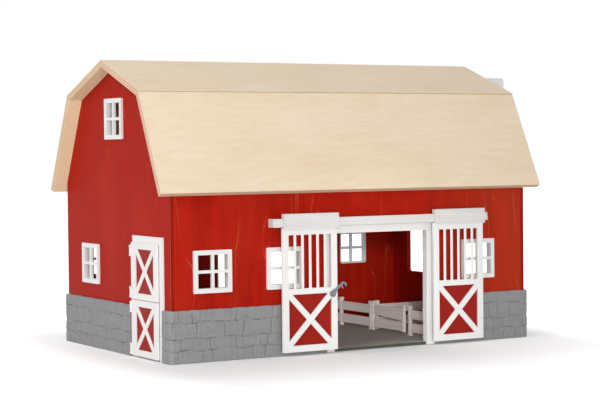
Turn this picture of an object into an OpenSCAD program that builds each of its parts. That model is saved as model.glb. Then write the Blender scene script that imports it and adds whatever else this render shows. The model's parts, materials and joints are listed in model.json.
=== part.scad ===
// Toy barn with sliding front doors, a split stable door, a latch hook, a stall gate and a hay hoist.
// X runs along the front, the front faces -Y, and Z is up. The origin is on the floor under the middle
// of the walls.

/* [Walls and floor] */
// Length of the walls along the front
wall_l = 500; // [460:10:640]
// Depth of the walls from front to back
wall_w = 300; // [280:10:380]
// Thickness of the wall panels
wall_t = 6; // [4:0.5:9]
// Thickness of the floor panel
floor_t = 4; // [3:0.5:6]
// Diameter of the hidden dowels in the wall ends
dowel_d = 3; // [2:0.5:3.5]
// Length of the hidden dowels
dowel_l = 18; // [12:1:30]

/* [Roof] */
// Thickness of the roof panels
roof_t = 8; // [6:0.5:12]
// Overhang of the roof past each gable
gable_out = 17.4; // [8:0.2:30]
// Overhang of the eave past the front and back walls
eave_out = 12.85; // [8:0.05:16]
// Height of the eave edge
eave_z = 194.8; // [185:0.1:230]
// Height from the eave edge up to the knee
knee_rise = 118.4; // [100:0.1:150]
// Distance of the knee inside the wall face
knee_in = 45; // [35:1:60]
// Height from the knee up to the ridge
ridge_rise = 39.4; // [30:0.1:60]
// Height of the upper panel's edge below the knee
knee_lip = 1.5; // [1:0.5:5]
// Side of the glued battens under the roof
batten_s = 13; // [8:1:20]

/* [Stone skirt] */
// Height of the stone skirt
skirt_h = 61; // [50:1:66]
// Thickness of the stone skirt
skirt_t = 4; // [3:0.5:5]
// Radius of its upright corners
skirt_r = 5; // [3:0.5:8]
// Depth of its mortar joints
joint_d = 0.8; // [0.4:0.1:1.5]
// Height of its mortar joints
joint_h = 1.6; // [1:0.1:3]

/* [Windows] */
// Outer size of a window frame
win_s = 49.3; // [40:0.1:56]
// Width of the window frame's border
win_border = 5.4; // [4:0.1:7]
// Width of the glazing bars
bar_w = 3.6; // [3:0.1:6]
// Depth of the glazing bars
bar_d = 3.5; // [3:0.1:6]
// Amount the window frames stand proud of the wall
win_proud = 3; // [2:0.5:4]
// Wall of the window's liner
liner_t = 2.2; // [1.5:0.1:3]
// Gap between a liner and the hole it sits in
liner_gap = 0.1; // [0.05:0.05:0.3]
// Height of the lower windows' centres
win_z = 103.75; // [95:0.25:120]
// Height of the attic window's centre
attic_z = 281.75; // [275:0.25:285]
// Place of the gable window's centre behind the middle
gable_win_y = 73.75; // [40:0.25:90]
// Distance of the first window's centre from the left end
win_first = 52.2; // [40:0.1:60]
// Distance of the second window's centre from the doorway's
win_second = 133; // [125:0.5:140]
// Distance of the third window's centre from the right end
win_third = 73.2; // [60:0.1:80]

/* [Front and back doorways] */
// Clear width of the doorways
door_clear_w = 134; // [100:1:150]
// Height of the doorways' clear opening
door_clear_z = 142; // [130:1:150]
// Width of the doorway casing
casing_w = 10.5; // [8:0.5:14]
// Amount the casing stands proud of the wall
casing_proud = 4; // [3:0.5:5]
// Place of the doorways' centre right of the middle
door_mid = 31; // [20:1:40]

/* [Sliding doors] */
// Width of one sliding door
slider_w = 74.3; // [70:0.1:80]
// Thickness of a sliding door
slider_t = 4; // [3:0.5:6]
// Height of the door's lower edge
slider_z = 4.8; // [2:0.1:8]
// Width of the door's stiles
stile_w = 8; // [6:0.5:10]
// Height of the braced field's lower edge
brace_z0 = 12.5; // [10:0.5:20]
// Height of the braced field's upper edge
brace_z1 = 72.5; // [65:0.5:78]
// Width of the diagonal braces
brace_w = 7; // [4:0.5:9]
// Height of the middle rail
mid_rail_h = 7; // [5:0.5:10]
// Number of upright bars
bar_n = 5; // [3:1:7]
// Width of one upright bar
upright_w = 3.4; // [3:0.1:6]
// Thickness of one upright bar
upright_t = 1.5; // [1:0.1:3]
// Thickness of the red panels behind the braces
red_t = 1.5; // [1:0.1:2]
// Gap left between the closed doors
meet_gap = 3.3; // [3.2:0.1:5]
// Distance the left door stands open
left_open = 66.8; // [0:0.1:70]
// Distance the right door stands open
right_open = 69.1; // [0:0.1:70]

/* [Slide rail and hangers] */
// Height of the rail
rail_h = 10; // [8:0.5:14]
// Thickness of the rail
rail_t = 4; // [3:0.5:6]
// Gap between the wall face and the rail's back
rail_off = 8; // [8:0.5:12]
// Running gap between a hanger and the rail
hang_gap = 0.4; // [0.3:0.1:0.8]
// Thickness of a hanger's front plate
hang_t = 3.6; // [3:0.2:5]
// Thickness of a hanger's back lip
lip_t = 2; // [1.5:0.5:2]
// Height of a hanger's top above the rail
hang_top = 5.6; // [4:0.2:8]
// Distance of a hanger's middle right of its door's middle
hang_shift = 1.7; // [0:0.1:1.7]
// Rail showing past the left door's hanger
rail_left = 13.2; // [11:0.1:20]
// Rail showing past the right door's hanger
rail_right = 7.1; // [7:0.1:20]

/* [Latch] */
// Diameter of the latch pivot
pivot_d = 3; // [2:0.1:4]
// Running gap around the pivot
pivot_gap = 0.05; // [0.02:0.01:0.1]
// Height of the latch pivot
pivot_z = 71.5; // [60:0.5:76]
// Distance of the pivot from the left door's edge
pivot_in = 7.7; // [6:0.1:9]
// Distance of the catch peg from the right door's edge
peg_in = 6.5; // [5:0.1:9]
// Thickness of the hook
hook_t = 2.6; // [2:0.1:3]
// Radius of the hook's round end
hook_r = 3.9; // [3:0.1:5]
// Angle at which the hook rests above level
hook_lift = 33; // [0:1:45]

/* [Stable door] */
// Distance of the stable door frame from the front corner
dutch_in = 17.8; // [10:0.1:20]
// Width of the stable door frame
dutch_w = 82.6; // [75:0.1:90]
// Width of its jambs
dutch_jamb = 10.5; // [7:0.5:12]
// Height of the clear opening
dutch_clear_z = 134.5; // [125:0.5:140]
// Height of its head
dutch_head = 9; // [7:0.5:12]
// Amount the frame stands proud of the wall
dutch_proud = 1.5; // [1.5:0.5:4]
// Height of the split between the leaves
split_z = 68.3; // [60:0.1:76]
// Gap between the leaves
leaf_gap = 0.7; // [0.5:0.1:1.5]
// Height of the lower leaf's foot
leaf_z = 2; // [1:0.5:6]
// Thickness of a leaf
leaf_t = 2.5; // [2.5:0.5:5]
// Width of the leaves' stiles on the hinge side
leaf_stile = 13.2; // [10:0.1:16]
// Width of their free stiles
free_stile = 9.6; // [8:0.1:16]
// Height of the leaves' rails
leaf_rail = 7.6; // [6:0.1:10]
// Diameter of the stable door's hinge pins
hinge_d = 1.2; // [1:0.1:1.6]
// Radius of the hinge knuckles
knuckle_r = 1.7; // [1.6:0.1:1.9]
// Height of one hinge
hinge_h = 13; // [10:0.5:16]

/* [Play opening and hatch] */
// Width of the play opening in the right gable
play_w = 216; // [160:2:220]
// Height of the play opening's lower edge
play_z0 = 70.5; // [68:0.5:90]
// Height of the play opening's upper edge
play_z1 = 185; // [130:1:190]
// Width of the loft hatch
hatch_w = 50; // [30:1:70]
// Height of the loft hatch's lower edge
hatch_z0 = 215; // [205:1:230]
// Height of the loft hatch's upper edge
hatch_z1 = 275; // [250:1:280]

/* [Hay hoist] */
// Reach of the hoist arm from the wall
hoist_l = 79; // [50:1:100]
// Height of the arm's top edge
hoist_z = 337; // [330:0.5:338]
// Height of the arm
hoist_h = 15; // [12:0.5:20]
// Thickness of the arm
hoist_t = 9.6; // [8:0.2:12]
// Radius of the pulley
pulley_r = 6; // [4:0.5:6.5]
// Thickness of the pulley
pulley_t = 4; // [3:0.2:5]
// Diameter of the pulley's axle
axle_d = 2.4; // [2:0.1:3]

/* [Stall] */
// Distance of the stall fence from the right gable
stall_w = 123; // [100:1:130]
// Height of the fence posts
post_h = 37.5; // [30:0.5:45]
// Side of the fence posts
post_s = 4; // [3.5:0.1:6]
// Thickness of the fence boards
board_t = 2.5; // [2:0.1:3]
// Height of the fence boards
board_h = 11.5; // [9:0.5:13]
// Length of the stall gate
gate_l = 71.5; // [50:0.5:75]
// Place of the cross fence behind the middle
cross_y = 14; // [12:1:30]
// Diameter of the gate's hinge pin
gate_pin_d = 2; // [1.5:0.1:2.4]
// Distance of the rear run's middle post from the back wall
rear_post_in = 58; // [40:1:80]
// Distance of the latch post from the gate's end post
latch_post_off = 15; // [6:0.5:20]
// Distance of the front run's middle post from the latch post
front_post_off = 34; // [15:0.1:40]

/* [Hidden] */

$fn = 48;
half_l = wall_l / 2;
half_w = wall_w / 2;
inner_l = half_l - wall_t;
inner_w = half_w - wall_t;
eps = 1;

// Roof outline in the Y-Z plane, worked out for the back half with y positive
eave_pt = [half_w + eave_out, eave_z];
knee_pt = [half_w - knee_in, eave_z + knee_rise];
ridge_pt = [0, eave_z + knee_rise + ridge_rise];
low_dir = (knee_pt - eave_pt) / norm(knee_pt - eave_pt);
top_dir = (ridge_pt - knee_pt) / norm(ridge_pt - knee_pt);
low_out = [low_dir[1], -low_dir[0]];
top_out = [top_dir[1], -top_dir[0]];
ridge_in = [0, ridge_pt[1] - roof_t / top_out[1]];
low_in = eave_pt - roof_t * low_out;
knee_in_pt = line_meet(low_in, low_dir, ridge_in, top_dir);
lip_pt = knee_pt - knee_lip * low_dir;
joint_dir = (knee_in_pt - lip_pt) / norm(knee_in_pt - lip_pt);
lip_proud = 0.8;
edge_cut = 0.8;

function cross2(a, b) = a[0] * b[1] - a[1] * b[0];
function line_meet(p, d, q, e) = p + d * cross2(q - p, e) / cross2(d, e);
// Height of the roof's inner faces at a distance y from the middle
function low_under(y) = low_in[1] + (y - low_in[0]) * low_dir[1] / low_dir[0];
function top_under(y) = ridge_in[1] + y * top_dir[1] / top_dir[0];

// Windows and doorways
win_r = 3.5;
win_open = win_s - 2 * win_border;
liner_s = win_open + 2 * liner_t;
win_x = [-half_l + win_first, door_mid - win_second, half_l - win_third];
door_liner_t = 2.4;
casing_foot = 0.6;
casing_half = door_clear_w / 2 + casing_w;

// Sliding doors, hangers and rail
rail_z = door_clear_z + casing_w - casing_foot;
rail_back = -half_w - rail_off;
rail_front = rail_back - rail_t;
slider_back = rail_front + rail_t / 2;
slider_front = slider_back - slider_t;
slider_h = rail_z - 1 - slider_z;
left_x = door_mid - meet_gap / 2 - slider_w - left_open;
right_x = door_mid + meet_gap / 2 + right_open;
hang_z0 = rail_z - 3;
hang_z1 = rail_z + rail_h + hang_top;
rail_x0 = left_x + hang_shift - rail_left;
rail_x1 = right_x + slider_w + hang_shift + rail_right;
rail_step = 0.4;
bracket_l = 6;
bracket_h = 4.8;
stop_gap = 3;
field_w = slider_w - 2 * stile_w;
bars_z0 = brace_z1 + mid_rail_h;
bars_z1 = door_clear_z + 0.5;

// Latch
pivot_x = left_x + slider_w - pivot_in;
peg_x = right_x + peg_in;
hook_reach = pivot_in + meet_gap + peg_in;
hook_gap = 0.4;
hook_back = slider_front - hook_gap;
peg_r = 1.5;

// Stable door on the left gable
dutch_y0 = -half_w + dutch_in;
dutch_y1 = dutch_y0 + dutch_w;
dutch_clear_y0 = dutch_y0 + dutch_jamb;
dutch_clear_y1 = dutch_y1 - dutch_jamb;
leaf_off = 0.3;
leaf_lap = 1;
leaf_back = -half_l - dutch_proud - leaf_off;
leaf_front = leaf_back - leaf_t;
axis_x = leaf_front + 0.5;
axis_y = dutch_y1 + 0.9;
leaf_clear = knuckle_r + 0.4;
lug_in = leaf_clear - 0.3;
leaf_y0 = dutch_clear_y0 + 0.5;
leaf_y1 = axis_y - leaf_clear;
hinge_in = 2.5;
hinge_foot = [leaf_z + 1, split_z - leaf_gap / 2 - hinge_in - hinge_h,
    split_z + leaf_gap / 2 + hinge_in / 2, dutch_clear_z - hinge_in - hinge_h];
hinge_z = [for (z = hinge_foot) [z, z + hinge_h]];
lug_h = 2.6;
lug_gap = 0.4;
hinge_gap = 0.05;
skirt_y1 = axis_y + knuckle_r + 0.4;

// Hoist
plate_w = 30;
plate_t = 3;
plate_h = 36;
cheek_gap = 0.4;
pulley_x = half_l + hoist_l - pulley_r - 1.5;
pulley_z = hoist_z - hoist_h + 3;

// Stall
stall_x = inner_l - stall_w;
hinge_post_y = cross_y - 3;
gate_axis_y = hinge_post_y - 6;
gate_stile_r = 2.2;
gate_end_y = gate_axis_y - gate_l;
cap_s = 5.4;
latch_post_y = gate_end_y - latch_post_off;
board_z = [4.1, 21];
board_gap = board_z[1] - board_z[0] - board_h;
cap_h = 4;
foot_h = 2;
lug_z = 2.6;
cross_off = 11;
slit_end = 1.3;

module rounded(w, h, r) {
    // A rectangle about the origin with round corners
    square([w - 2 * r, h], center = true);
    square([w, h - 2 * r], center = true);
    for (x = [-1, 1], y = [-1, 1]) translate([x * (w / 2 - r), y * (h / 2 - r)]) circle(r);
}

// Stands an outline up in the X-Z plane, from y = 0 to y = -t
module upright(t) rotate([90, 0, 0]) linear_extrude(t) children();

// Runs a Y-Z outline along X, from x0 to x1
module run_x(x0, x1) translate([x0, 0, 0]) rotate([90, 0, 90]) linear_extrude(x1 - x0) children();

// Places what faces -Y on the front wall so that it faces out of another wall
module on_front(x, z) translate([x, -half_w, z]) children();
module on_back(x, z) translate([x, half_w, z]) rotate([0, 0, 180]) children();
module on_left(y, z) translate([-half_l, y, z]) rotate([0, 0, -90]) children();

module brace_x(w, h, bar) {
    // A diagonal cross that fills a field w by h
    slope = atan2(h, w);
    intersection() {
        square([w, h], center = true);
        union() {
            rotate(slope) square([2 * (w + h), bar], center = true);
            rotate(-slope) square([2 * (w + h), bar], center = true);
        }
    }
}

// Walls and floor

module floor_panel() {
    color("dimgray") translate([-half_l, -half_w, 0]) cube([wall_l, wall_w, floor_t]);
}

module dowel_axes(y_side) {
    // Dowels through the end of a long wall, one above the other
    for (x = [-1, 1], z = [25, 100, 175])
        translate([x * (inner_l - dowel_l / 2 + wall_t / 2), y_side * (half_w - wall_t / 2), z])
            rotate([0, 90, 0]) cylinder(d = dowel_d, h = dowel_l, center = true);
}

module wall_dowels() {
    color("burlywood") {
        dowel_axes(-1);
        dowel_axes(1);
    }
}

module window_hole() {
    translate([0, eps + wall_t, 0]) upright(wall_t + 2 * eps)
        rounded(liner_s + 2 * liner_gap, liner_s + 2 * liner_gap, win_r);
}

module doorway_hole() {
    half = door_clear_w / 2 + door_liner_t + liner_gap;
    translate([-half, -eps, floor_t - eps])
        cube([2 * half, wall_t + 2 * eps, door_clear_z + door_liner_t + liner_gap - floor_t + eps]);
}

module long_wall_blank() {
    run_x(-inner_l, inner_l) polygon([[-half_w, floor_t], [-inner_w, floor_t],
        [-inner_w, low_under(inner_w)], [-half_w, low_under(half_w)]]);
}

module front_wall() {
    color("firebrick") difference() {
        long_wall_blank();
        for (x = win_x) on_front(x, win_z) window_hole();
        on_front(door_mid, 0) doorway_hole();
        dowel_axes(-1);
    }
}

module back_wall() {
    color("firebrick") difference() {
        mirror([0, 1, 0]) long_wall_blank();
        for (x = win_x) on_back(x, win_z) window_hole();
        on_back(door_mid, 0) doorway_hole();
        dowel_axes(1);
    }
}

module gable_blank() {
    run_x(-half_l, -inner_l) polygon([[-half_w, floor_t], [half_w, floor_t],
        [half_w, low_under(half_w)], knee_in_pt, ridge_in,
        [-knee_in_pt[0], knee_in_pt[1]], [-half_w, low_under(half_w)]]);
}

module left_gable() {
    color("firebrick") difference() {
        gable_blank();
        on_left(gable_win_y, win_z) window_hole();
        on_left(0, attic_z) window_hole();
        translate([-half_l - eps, dutch_clear_y0, floor_t - eps])
            cube([wall_t + 2 * eps, dutch_clear_y1 - dutch_clear_y0, dutch_clear_z - floor_t + eps]);
        dowel_axes(-1);
        dowel_axes(1);
    }
}

module right_gable() {
    color("firebrick") difference() {
        mirror([1, 0, 0]) gable_blank();
        translate([0, 0, (play_z0 + play_z1) / 2]) run_x(inner_l - eps, half_l + eps)
            rounded(play_w, play_z1 - play_z0, 3);
        translate([0, 0, (hatch_z0 + hatch_z1) / 2]) run_x(inner_l - eps, half_l + eps)
            rounded(hatch_w, hatch_z1 - hatch_z0, 3);
        dowel_axes(-1);
        dowel_axes(1);
    }
}

// Stone skirt

module skirt_plan(x_end, y_end, proud) {
    // One corner of the skirt seen from above, for the corner at +X +Y
    bend = proud - skirt_r;
    difference() {
        union() {
            translate([x_end, half_w]) square([half_l + bend - x_end, proud]);
            translate([half_l, y_end]) square([proud, half_w + bend - y_end]);
            translate([half_l + bend, half_w + bend]) circle(skirt_r);
        }
        translate([half_l - 4 * skirt_r, half_w - 4 * skirt_r]) square(4 * skirt_r);
    }
}

module skirt(x_end, y_end) {
    joints = [for (i = [1 : 3]) i * skirt_h / 4 - joint_h / 8];
    color("gray") {
        for (i = [0 : 3]) {
            z0 = i == 0 ? 0 : joints[i - 1] + joint_h / 2;
            z1 = i == 3 ? skirt_h : joints[i] - joint_h / 2;
            translate([0, 0, z0]) linear_extrude(z1 - z0) skirt_plan(x_end, y_end, skirt_t);
        }
        for (z = joints)
            translate([0, 0, z - joint_h / 2]) linear_extrude(joint_h)
                skirt_plan(x_end, y_end, skirt_t - joint_d);
    }
}

module skirt_front_left() mirror([1, 0, 0]) mirror([0, 1, 0])
    skirt(casing_half - door_mid, -dutch_y0);
module skirt_front_right() mirror([0, 1, 0]) skirt(door_mid + casing_half, 0);
module skirt_back_left() mirror([1, 0, 0]) skirt(casing_half - door_mid, skirt_y1);
module skirt_back_right() skirt(door_mid + casing_half, 0);

// Roof

module lower_roof() {
    color("wheat") run_x(-half_l - gable_out, half_l + gable_out)
        polygon([eave_pt, lip_pt - edge_cut * low_dir, lip_pt + edge_cut * joint_dir, knee_in_pt, low_in]);
}

module upper_roof() {
    color("wheat") run_x(-half_l - gable_out, half_l + gable_out)
        polygon([lip_pt + lip_proud * low_out, line_meet(lip_pt + lip_proud * low_out, low_dir,
            knee_pt, top_dir), ridge_pt, ridge_in, knee_in_pt, lip_pt]);
}

module roof_lower_front() mirror([0, 1, 0]) lower_roof();
module roof_lower_back() lower_roof();
module roof_upper_front() mirror([0, 1, 0]) upper_roof();
module roof_upper_back() upper_roof();

module ridge_batten() {
    color("burlywood") run_x(-inner_l, inner_l)
        polygon([ridge_in, [batten_s, top_under(batten_s)], [batten_s, top_under(batten_s) - 4],
            [-batten_s, top_under(batten_s) - 4], [-batten_s, top_under(batten_s)]]);
}

module knee_batten() {
    color("burlywood") run_x(-inner_l, inner_l)
        polygon([knee_in_pt, knee_in_pt + batten_s * top_dir, knee_in_pt - batten_s * low_dir]);
}

module knee_batten_front() mirror([0, 1, 0]) knee_batten();
module knee_batten_back() knee_batten();

// Windows and doorway frames, drawn with the wall face at y = 0 and facing -Y

module window_unit() {
    color("white") {
        upright(win_proud) difference() {
            rounded(win_s, win_s, 1);
            square(win_open, center = true);
        }
        translate([0, wall_t, 0]) upright(wall_t) difference() {
            rounded(liner_s, liner_s, win_r);
            square(win_open, center = true);
        }
        translate([0, bar_d - win_proud + 0.4, 0]) upright(bar_d) {
            square([bar_w, win_open], center = true);
            square([win_open, bar_w], center = true);
        }
    }
}

module window_front_1() on_front(win_x[0], win_z) window_unit();
module window_front_2() on_front(win_x[1], win_z) window_unit();
module window_front_3() on_front(win_x[2], win_z) window_unit();
module window_back_1() on_back(win_x[0], win_z) window_unit();
module window_back_2() on_back(win_x[1], win_z) window_unit();
module window_back_3() on_back(win_x[2], win_z) window_unit();
module window_gable() on_left(gable_win_y, win_z) window_unit();
module window_attic() on_left(0, attic_z) window_unit();

module doorway_frame() {
    liner_half = door_clear_w / 2 + door_liner_t;
    color("white") {
        upright(casing_proud) difference() {
            translate([-casing_half, casing_foot]) square([2 * casing_half, rail_z - casing_foot]);
            translate([-door_clear_w / 2, 0]) square([door_clear_w, door_clear_z]);
        }
        translate([0, wall_t, 0]) upright(wall_t) difference() {
            translate([-liner_half, floor_t])
                square([2 * liner_half, door_clear_z + door_liner_t - floor_t]);
            translate([-door_clear_w / 2, 0]) square([door_clear_w, door_clear_z]);
        }
    }
}

module doorway_frame_front() on_front(door_mid, 0) doorway_frame();
module doorway_frame_back() on_back(door_mid, 0) doorway_frame();

// Rail and sliding doors

module slide_rail() {
    color("white") run_x(rail_x0, rail_x1)
        polygon([[rail_front, rail_z], [rail_front, rail_z + rail_h / 2],
            [rail_front + rail_step, rail_z + rail_h / 2 + rail_step],
            [rail_front + rail_step, rail_z + rail_h], [rail_back, rail_z + rail_h], [rail_back, rail_z]]);
}

module rail_brackets() {
    // Two end blocks that stop the hangers, and a low block in the middle
    color("white") {
        for (x = [rail_x0, rail_x1 - bracket_l])
            translate([x, rail_back, rail_z]) cube([bracket_l, rail_off, rail_h]);
        translate([door_mid - bracket_l / 2, rail_back, rail_z])
            cube([bracket_l, rail_off, bracket_h]);
    }
}

module slider_frame() {
    // One sliding door, with its lower left corner at x = 0
    pitch = (field_w - bar_n * upright_w) / (bar_n + 1) + upright_w;
    field_h = brace_z1 - brace_z0;
    color("white") {
        translate([0, slider_back, 0]) upright(slider_t) difference() {
            translate([0, slider_z]) square([slider_w, slider_h]);
            translate([stile_w, brace_z0]) square([field_w, field_h]);
            translate([stile_w, bars_z0]) square([field_w, bars_z1 - bars_z0]);
        }
        for (i = [1 : bar_n])
            translate([stile_w + i * pitch - upright_w, slider_front + upright_t, bars_z0 - eps])
                upright(upright_t) square([upright_w, bars_z1 - bars_z0 + 2 * eps]);
        translate([slider_w / 2, slider_back - red_t, (brace_z0 + brace_z1) / 2])
            upright(slider_t - red_t) brace_x(field_w, field_h, brace_w);
    }
}

module slider_panel() {
    color("firebrick") translate([stile_w, slider_back, brace_z0]) upright(red_t)
        square([field_w, brace_z1 - brace_z0]);
}

module slider_hanger() {
    // Hooks over the rail from the front, and holds the door in front of its face
    lip_in = rail_back + hang_gap;
    plate_in = rail_front - hang_gap;
    plate_out = plate_in - hang_t;
    top_z = rail_z + rail_h + hang_gap;
    door_top = slider_z + slider_h;
    color("white") difference() {
        run_x(hang_shift, hang_shift + slider_w)
            polygon([[plate_out, hang_z0], [slider_front, hang_z0], [slider_front, door_top],
                [plate_in, door_top], [plate_in, top_z], [lip_in, top_z],
                [lip_in, rail_z + bracket_h + hang_gap + 0.6],
                [lip_in + lip_t, rail_z + bracket_h + hang_gap + 0.6],
                [lip_in + lip_t, hang_z1], [plate_out, hang_z1]]);
        // The lip is cut back at both ends to clear the end blocks
        for (x = [hang_shift - eps, hang_shift + slider_w - stop_gap])
            translate([x, lip_in - eps / 2, rail_z])
                cube([stop_gap + eps, lip_t + eps, rail_h + hang_top + eps]);
    }
}

module left_door_frame() translate([left_x, 0, 0]) slider_frame();
module left_door_panel() translate([left_x, 0, 0]) slider_panel();
module left_door_hanger() translate([left_x, 0, 0]) slider_hanger();
module right_door_frame() translate([right_x, 0, 0]) slider_frame();
module right_door_panel() translate([right_x, 0, 0]) slider_panel();
module right_door_hanger() translate([right_x, 0, 0]) slider_hanger();

// Latch

module latch_pivot_pin() {
    shaft = hook_gap + hook_t + 0.3;
    color("slategray") translate([pivot_x, slider_front, pivot_z]) rotate([90, 0, 0]) {
        cylinder(d = pivot_d, h = shaft);
        translate([0, 0, shaft]) cylinder(r = hook_r - 1.4, h = 0.9);
    }
}

module latch_hook() {
    // Drawn level, with the pivot at the origin and the peg's place at hook_reach, then lifted
    color("slategray") translate([pivot_x, hook_back, pivot_z]) rotate([0, -hook_lift, 0]) difference() {
        union() {
            upright(hook_t) circle(hook_r);
            upright(hook_t) polygon([[-0.6, hook_r - 0.05], [6, 2.9], [hook_reach - 2.6, 3.6],
                [hook_reach - 1.2, 2.4], [6.5, 0], [0.9, -hook_r + 0.15]]);
            translate([hook_reach, 0, 0]) upright(hook_t) circle(peg_r + 2.6);
        }
        translate([hook_reach, eps, 0]) upright(hook_t + 2 * eps) circle(peg_r + 0.5);
        translate([hook_reach, eps, 0]) upright(hook_t + 2 * eps)
            polygon([[-peg_r - 0.5, 0], [peg_r + 0.5, 0], [peg_r + 0.1, -8], [-peg_r - 1.7, -8]]);
        translate([0, eps, 0]) upright(hook_t + 2 * eps) circle(pivot_d / 2 + pivot_gap);
    }
}

module catch_peg() {
    color("white") translate([peg_x, slider_front, pivot_z]) rotate([90, 0, 0])
        cylinder(r = peg_r, h = hook_gap + hook_t + 0.2);
}

// Stable door

module stable_door_frame() {
    color("white") difference() {
        union() {
            on_left(0, 0) upright(dutch_proud) difference() {
                translate([-dutch_y1, casing_foot])
                    square([dutch_w, dutch_clear_z + dutch_head - casing_foot]);
                translate([-dutch_clear_y1, 0])
                    square([dutch_clear_y1 - dutch_clear_y0, dutch_clear_z]);
            }
            for (pair = hinge_z, z = [pair[0], pair[1] - lug_h])
                translate([axis_x, axis_y, z]) {
                    cylinder(r = knuckle_r, h = lug_h);
                    translate([0, -lug_in, 0]) cube([-half_l - axis_x, lug_in + knuckle_r, lug_h]);
                }
        }
        for (pair = hinge_z)
            translate([axis_x, axis_y, pair[0] - eps]) cylinder(d = hinge_d, h = hinge_h + 2 * eps);
    }
}

module stable_hinge_pins() {
    color("silver") for (pair = hinge_z)
        translate([axis_x, axis_y, pair[0]]) cylinder(d = hinge_d, h = hinge_h);
}

module leaf(z0, z1) {
    // One half of the stable door, with its knuckles
    w = leaf_y1 - leaf_y0;
    h = z1 - z0;
    shift = (leaf_stile - free_stile) / 2;
    color("white") difference() {
        union() {
            translate([leaf_back, (leaf_y0 + leaf_y1) / 2, (z0 + z1) / 2]) rotate([0, 0, -90]) {
                upright(leaf_t) difference() {
                    square([w, h], center = true);
                    translate([shift, 0])
                        square([w - leaf_stile - free_stile, h - 2 * leaf_rail], center = true);
                }
                translate([shift, -red_t, 0]) upright(leaf_t - red_t)
                    brace_x(w - leaf_stile - free_stile, h - 2 * leaf_rail, brace_w - 0.5);
            }
            for (pair = hinge_z) if (pair[0] >= z0 && pair[1] <= z1)
                translate([axis_x, axis_y, pair[0] + lug_h + lug_gap]) {
                    cylinder(r = knuckle_r - 0.3, h = hinge_h - 2 * lug_h - 2 * lug_gap);
                    translate([-0.5, -leaf_clear - 0.2, 0])
                        cube([1.7, leaf_clear + 0.2, hinge_h - 2 * lug_h - 2 * lug_gap]);
                }
        }
        for (pair = hinge_z) translate([axis_x, axis_y, pair[0] - eps])
            cylinder(r = hinge_d / 2 + hinge_gap, h = hinge_h + 2 * eps);
    }
}

module leaf_panel(z0, z1) {
    w = leaf_y1 - leaf_y0 - leaf_stile - free_stile;
    color("firebrick") translate([leaf_back, leaf_y1 - leaf_stile - w / 2, (z0 + z1) / 2])
        rotate([0, 0, -90]) upright(red_t) square([w, z1 - z0 - 2 * leaf_rail], center = true);
}

module upper_leaf() leaf(split_z + leaf_gap / 2, dutch_clear_z + leaf_lap);
module upper_leaf_panel() leaf_panel(split_z + leaf_gap / 2, dutch_clear_z + leaf_lap);
module lower_leaf() leaf(leaf_z, split_z - leaf_gap / 2);
module lower_leaf_panel() leaf_panel(leaf_z, split_z - leaf_gap / 2);

// Hay hoist on the right gable

module hoist_arm() {
    slot = pulley_t + 2 * cheek_gap;
    color("white") difference() {
        union() {
            translate([half_l, -plate_w / 2, hoist_z - plate_h]) cube([plate_t, plate_w, plate_h - 1.5]);
            translate([0, hoist_t / 2, 0]) upright(hoist_t) {
                translate([half_l, hoist_z - hoist_h]) square([hoist_l - 4, hoist_h]);
                translate([half_l, hoist_z - hoist_h]) square([hoist_l, hoist_h - 4]);
                translate([half_l + hoist_l - 4, hoist_z - 4]) circle(4);
                polygon([[half_l, hoist_z - plate_h + 2], [half_l + 24, hoist_z - hoist_h],
                    [half_l, hoist_z - hoist_h]]);
            }
        }
        translate([pulley_x - pulley_r - 1, -slot / 2, hoist_z - hoist_h - eps])
            cube([2 * pulley_r + 10, slot, 3 + pulley_r + 1 + eps]);
        translate([pulley_x, 0, pulley_z]) rotate([90, 0, 0])
            cylinder(d = axle_d, h = hoist_t + 2 * eps, center = true);
    }
}

module hoist_axle() {
    color("silver") translate([pulley_x, 0, pulley_z]) rotate([90, 0, 0])
        cylinder(d = axle_d, h = hoist_t, center = true);
}

module hoist_pulley() {
    // A grooved wheel, turned about its axle
    color("white") translate([pulley_x, 0, pulley_z]) rotate([90, 0, 0]) rotate_extrude()
        polygon([[axle_d / 2 + 0.05, -pulley_t / 2], [pulley_r, -pulley_t / 2],
            [pulley_r, -pulley_t / 2 + 0.8], [pulley_r - 1.6, 0],
            [pulley_r, pulley_t / 2 - 0.8], [pulley_r, pulley_t / 2], [axle_d / 2 + 0.05, pulley_t / 2]]);
}

// Stall

module post() {
    // A fence post about the origin, standing on the floor panel
    translate([-post_s / 2, -post_s / 2, floor_t]) cube([post_s, post_s, post_h]);
    translate([-cap_s / 2, -cap_s / 2, floor_t + post_h - cap_h]) cube([cap_s, cap_s, cap_h]);
    translate([-cap_s / 2, -cap_s / 2, floor_t]) cube([cap_s, cap_s, foot_h]);
}

module boards(y0, y1) {
    // Two boards along Y at x = 0
    for (z = board_z) translate([-board_t / 2, y0, floor_t + z]) cube([board_t, y1 - y0, board_h]);
}

module stall_fence_rear() {
    color("white") translate([stall_x, 0, 0]) {
        for (y = [hinge_post_y, inner_w - rear_post_in, inner_w - cap_s / 2]) translate([0, y, 0]) post();
        boards(hinge_post_y, inner_w);
        // Ears of the hinge post that hold the gate's pin
        for (z = [floor_t, floor_t + post_h - lug_z]) difference() {
            union() {
                translate([0, gate_axis_y, z]) cylinder(r = gate_stile_r, h = lug_z);
                translate([-gate_stile_r, gate_axis_y, z])
                    cube([2 * gate_stile_r, hinge_post_y - gate_axis_y, lug_z]);
            }
            translate([0, gate_axis_y, z - eps]) cylinder(d = gate_pin_d, h = lug_z + 2 * eps);
        }
    }
}

module stall_fence_front() {
    color("white") translate([stall_x, 0, 0]) {
        for (y = [latch_post_y, latch_post_y - front_post_off, -inner_w + cap_s / 2])
            translate([0, y, 0]) post();
        boards(-inner_w, latch_post_y);
    }
}

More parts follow.
